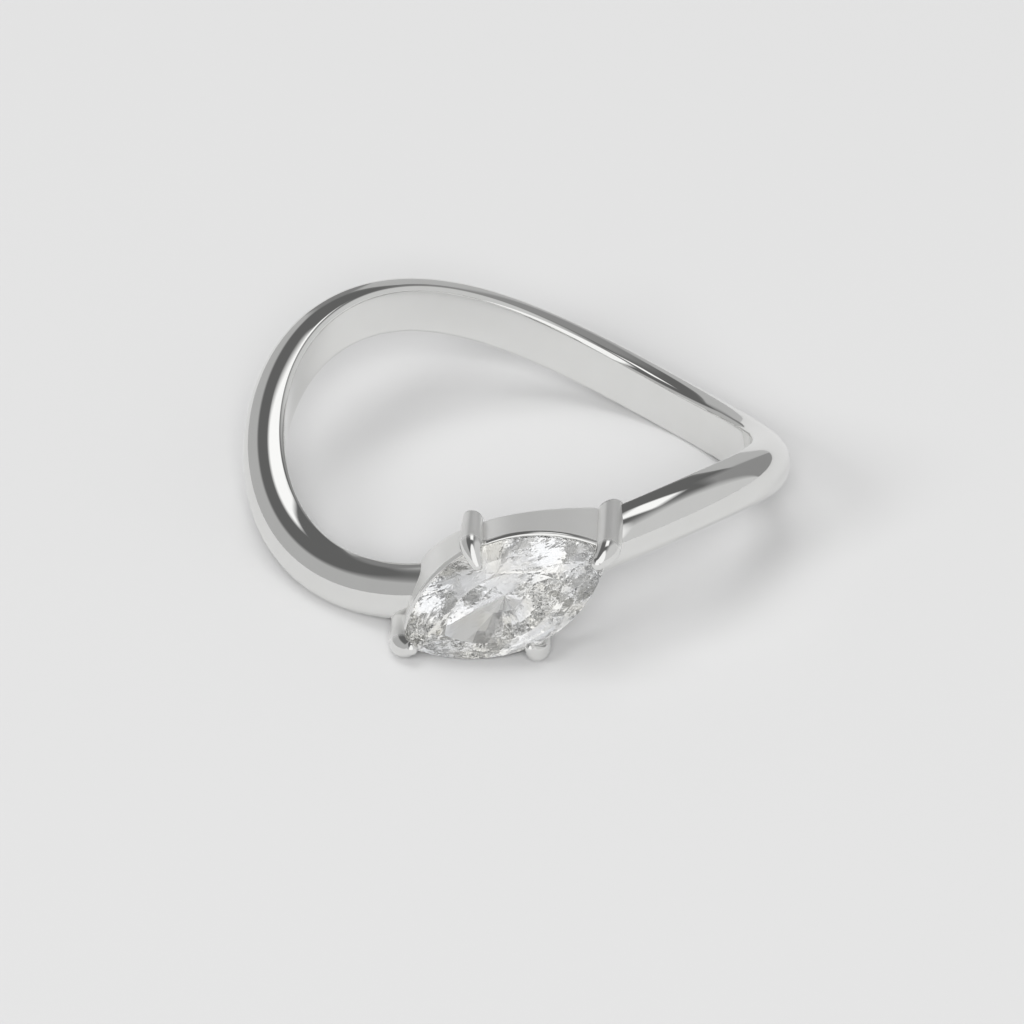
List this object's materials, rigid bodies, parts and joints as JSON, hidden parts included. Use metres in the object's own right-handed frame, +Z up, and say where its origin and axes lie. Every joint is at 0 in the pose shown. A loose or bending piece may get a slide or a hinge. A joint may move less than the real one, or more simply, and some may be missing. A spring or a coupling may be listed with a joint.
{
  "type": "east west ring",
  "caption": "Finger ring on its side: a wavy half-round band carries a marquise-cut stone, set slantwise along the finger's breadth in a low gallery with hooked prongs.",
  "frame": {"origin": "centre of the finger hole, halfway along it", "axes": "+Z up as the ring lies on its side, 0.95 degrees off the finger hole's axis, and -Y towards the stone"},
  "size_m": [0.0194, 0.0207, 0.0055],
  "materials": {
    "white_gold": "mirror-polished white gold",
    "clear_stone": "polished facets, colourless"
  },
  "bodies": {
    "root": {"ring_mount": "white_gold", "marquise_stone": "clear_stone"}
  },
  "joints": []
}
